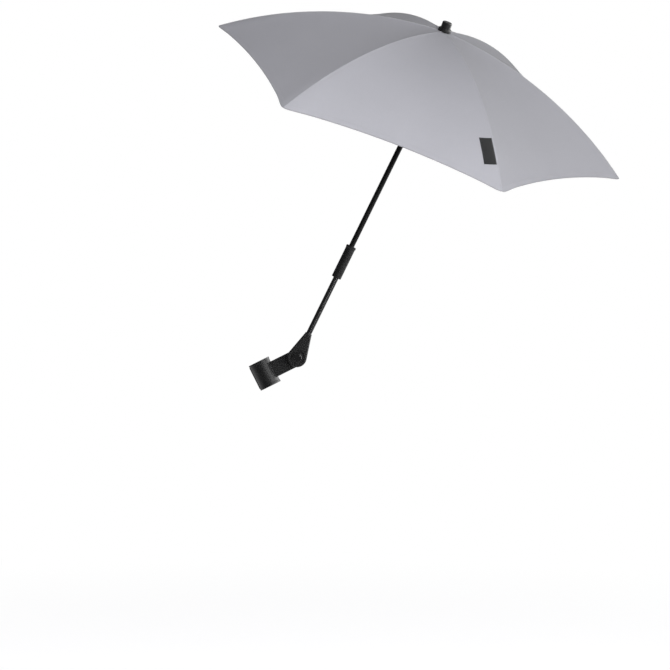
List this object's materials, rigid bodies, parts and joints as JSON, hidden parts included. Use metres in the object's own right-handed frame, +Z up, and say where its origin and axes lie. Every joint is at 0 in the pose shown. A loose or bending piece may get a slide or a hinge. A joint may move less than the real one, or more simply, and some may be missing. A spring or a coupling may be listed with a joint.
{
  "type": "pram parasol",
  "caption": "Folding ribbed sun canopy on a tilting, swivelling stem, with a friction knuckle and a split clamp that grips a pram's tube.",
  "frame": {"origin": "middle of the clamp's bore", "axes": "+Z up, +X to the right of a viewer of the pram's side, +Y away from that viewer; the bore leans 26.5 degrees back from +Z towards -X"},
  "size_m": [0.7366, 0.6457, 0.7271],
  "materials": {
    "black_plastic": "moulded, fine texture",
    "gloss_black": "smooth moulded",
    "rubber": "ribbed grip",
    "steel": "plated",
    "brass": "knurled insert",
    "satin_rod": "satin black lacquer",
    "black_tube": "matte black powder coat",
    "grey_plastic": "bearing plastic",
    "rib_steel": "black lacquered steel",
    "grey_cloth": "plain woven polyester"
  },
  "bodies": {
    "clamp": {"clamp_front": "black_plastic", "clamp_back": "black_plastic", "clamp_liners": "rubber", "clamp_screws": "steel", "clamp_inserts": "brass", "pivot_nut": "steel", "pivot_bolt": "steel", "spring_washer": "steel", "friction_disc": "grey_plastic"},
    "arm": {"knuckle": "black_plastic", "pivot_cap": "gloss_black", "rod_pin": "steel", "lower_rod": "satin_rod", "sleeve": "black_plastic", "sleeve_pin": "steel", "swivel_bush": "grey_plastic", "swivel_screw": "steel"},
    "stem": {"upper_stem": "black_tube", "tilt_fork": "black_plastic", "fork_rivet": "steel", "tilt_pin": "steel"},
    "head": {"tilt_tongue": "black_plastic", "tongue_rivet": "steel", "canopy_stick": "black_tube", "hub": "black_plastic", "hub_pins": "steel", "crown_washer": "grey_plastic", "cap": "black_plastic", "runner_stop": "grey_plastic"},
    "runner": {"runner": "black_plastic"},
    "rib_1": {"rib_1": "rib_steel", "rib_tip_1": "gloss_black", "rib_clip_1": "black_plastic", "canopy_panel_1": "grey_cloth"},
    "stretcher_1": {"stretcher_1": "rib_steel"},
    "rib_2": {"rib_2": "rib_steel", "rib_tip_2": "gloss_black", "rib_clip_2": "black_plastic", "canopy_panel_2": "grey_cloth"},
    "stretcher_2": {"stretcher_2": "rib_steel"},
    "rib_3": {"rib_3": "rib_steel", "rib_tip_3": "gloss_black", "rib_clip_3": "black_plastic", "canopy_panel_3": "grey_cloth"},
    "stretcher_3": {"stretcher_3": "rib_steel"},
    "rib_4": {"rib_4": "rib_steel", "rib_tip_4": "gloss_black", "rib_clip_4": "black_plastic", "canopy_panel_4": "grey_cloth"},
    "stretcher_4": {"stretcher_4": "rib_steel"},
    "rib_5": {"rib_5": "rib_steel", "rib_tip_5": "gloss_black", "rib_clip_5": "black_plastic", "canopy_panel_5": "grey_cloth"},
    "stretcher_5": {"stretcher_5": "rib_steel"},
    "rib_6": {"rib_6": "rib_steel", "rib_tip_6": "gloss_black", "rib_clip_6": "black_plastic", "canopy_panel_6": "grey_cloth"},
    "stretcher_6": {"stretcher_6": "rib_steel"}
  },
  "joints": [
    {"name": "arm_tilt", "type": "hinge", "parent": "clamp", "child": "arm", "pos_m": [0.06041, -0.0195, 0.03012], "axis": [0, 1, 0], "range_deg": [-52, 64]},
    {"name": "stem_swivel", "type": "hinge", "parent": "arm", "child": "stem", "pos_m": [0.1473, -0.0195, 0.20748], "axis": [0.4399, 0, 0.898], "continuous": true},
    {"name": "canopy_tilt", "type": "hinge", "parent": "stem", "child": "head", "pos_m": [0.26168, -0.0195, 0.44097], "axis": [0.8725, -0.2368, -0.4274], "range_deg": [-71, 25]},
    {"name": "runner_slide", "type": "slide", "parent": "head", "child": "runner", "axis": [-0.3219, 0.3796, -0.8674], "range_m": [0, 0.07823]},
    {"name": "rib_fold_1", "type": "hinge", "parent": "head", "child": "rib_1", "pos_m": [0.31614, -0.09599, 0.62075], "axis": [-0.1652, -0.9246, -0.3433], "range_deg": [0, 66.6], "deforming": ["canopy_panel_1"]},
    {"name": "stretcher_fold_1", "type": "hinge", "parent": "rib_1", "child": "stretcher_1", "pos_m": [0.25551, -0.08933, 0.63199], "axis": [0.1652, 0.9246, 0.3433], "range_deg": [0, 110.2]},
    {"name": "rib_fold_2", "type": "hinge", "parent": "head", "child": "rib_2", "pos_m": [0.31985, -0.10539, 0.61526], "axis": [0.7247, -0.4907, -0.4837], "range_deg": [0, 66.6], "deforming": ["canopy_panel_2"]},
    {"name": "stretcher_fold_2", "type": "hinge", "parent": "rib_2", "child": "stretcher_2", "pos_m": [0.27886, -0.1484, 0.59747], "axis": [-0.7247, 0.4907, 0.4837], "range_deg": [0, 110.2]},
    {"name": "rib_fold_3", "type": "hinge", "parent": "head", "child": "rib_3", "pos_m": [0.33057, -0.10577, 0.61111], "axis": [0.89, 0.4339, -0.1404], "range_deg": [0, 66.6], "deforming": ["canopy_panel_3"]},
    {"name": "stretcher_fold_3", "type": "hinge", "parent": "rib_3", "child": "stretcher_3", "pos_m": [0.34625, -0.15077, 0.57143], "axis": [-0.89, -0.4339, 0.1404], "range_deg": [0, 110.2]},
    {"name": "rib_fold_4", "type": "hinge", "parent": "head", "child": "rib_4", "pos_m": [0.33758, -0.09675, 0.61246], "axis": [0.1652, 0.9246, 0.3433], "range_deg": [0, 66.6], "deforming": ["canopy_panel_4"]},
    {"name": "stretcher_fold_4", "type": "hinge", "parent": "rib_4", "child": "stretcher_4", "pos_m": [0.39029, -0.09408, 0.5799], "axis": [-0.1652, -0.9246, -0.3433], "range_deg": [0, 110.2]},
    {"name": "rib_fold_5", "type": "hinge", "parent": "head", "child": "rib_5", "pos_m": [0.33386, -0.08735, 0.61795], "axis": [-0.7247, 0.4907, 0.4837], "range_deg": [0, 66.6], "deforming": ["canopy_panel_5"]},
    {"name": "stretcher_fold_5", "type": "hinge", "parent": "rib_5", "child": "stretcher_5", "pos_m": [0.36694, -0.03501, 0.61442], "axis": [0.7247, -0.4907, -0.4837], "range_deg": [0, 110.2]},
    {"name": "rib_fold_6", "type": "hinge", "parent": "head", "child": "rib_6", "pos_m": [0.32314, -0.08698, 0.6221], "axis": [-0.89, -0.4339, 0.1404], "range_deg": [0, 66.6], "deforming": ["canopy_panel_6"]},
    {"name": "stretcher_fold_6", "type": "hinge", "parent": "rib_6", "child": "stretcher_6", "pos_m": [0.29955, -0.03264, 0.64046], "axis": [0.89, 0.4339, -0.1404], "range_deg": [0, 110.2]}
  ],
  "couplings": [
    {"joint": "rib_fold_1", "follows": "runner_slide", "rad_per_m": 14.843},
    {"joint": "stretcher_fold_1", "follows": "runner_slide", "rad_per_m": 24.563},
    {"joint": "rib_fold_2", "follows": "runner_slide", "rad_per_m": 14.843},
    {"joint": "stretcher_fold_2", "follows": "runner_slide", "rad_per_m": 24.563},
    {"joint": "rib_fold_3", "follows": "runner_slide", "rad_per_m": 14.843},
    {"joint": "stretcher_fold_3", "follows": "runner_slide", "rad_per_m": 24.563},
    {"joint": "rib_fold_4", "follows": "runner_slide", "rad_per_m": 14.843},
    {"joint": "stretcher_fold_4", "follows": "runner_slide", "rad_per_m": 24.563},
    {"joint": "rib_fold_5", "follows": "runner_slide", "rad_per_m": 14.843},
    {"joint": "stretcher_fold_5", "follows": "runner_slide", "rad_per_m": 24.563},
    {"joint": "rib_fold_6", "follows": "runner_slide", "rad_per_m": 14.843},
    {"joint": "stretcher_fold_6", "follows": "runner_slide", "rad_per_m": 24.563}
  ]
}
